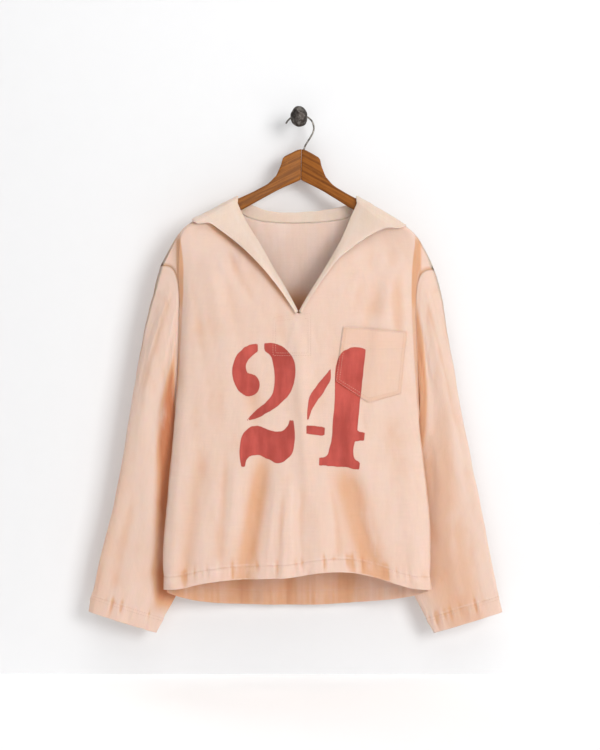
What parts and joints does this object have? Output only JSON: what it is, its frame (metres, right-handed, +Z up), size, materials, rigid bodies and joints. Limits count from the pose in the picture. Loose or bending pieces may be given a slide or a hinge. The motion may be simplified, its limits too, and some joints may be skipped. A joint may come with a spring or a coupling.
{
  "type": "sailor jumper on a wooden hanger and iron wall peg",
  "caption": "Pale cotton sailor jumper with square collar and chest pocket, hung on a two-piece wooden hanger from an iron wall peg.",
  "frame": {"origin": "middle of the peg's flat back face, where it meets the wall", "axes": "+X to the viewer's right, +Y into the wall, +Z up"},
  "size_m": [0.7091, 0.1103, 0.9068],
  "materials": {
    "cotton_drill": "pale washed cotton drill, matt",
    "cotton_drill_back": "pale washed cotton drill, matt",
    "wood": "varnished, worn",
    "hook_wire": "dull dark wire",
    "iron": "hammered, dark with worn edges"
  },
  "bodies": {
    "root": {"front": "cotton_drill", "back": "cotton_drill_back", "sleeve_left": "cotton_drill", "sleeve_right": "cotton_drill", "collar": "cotton_drill", "pocket": "cotton_drill", "hanger_left": "wood", "hanger_right": "wood", "hook": "hook_wire", "peg_shank": "iron", "peg_head": "iron"}
  },
  "joints": []
}
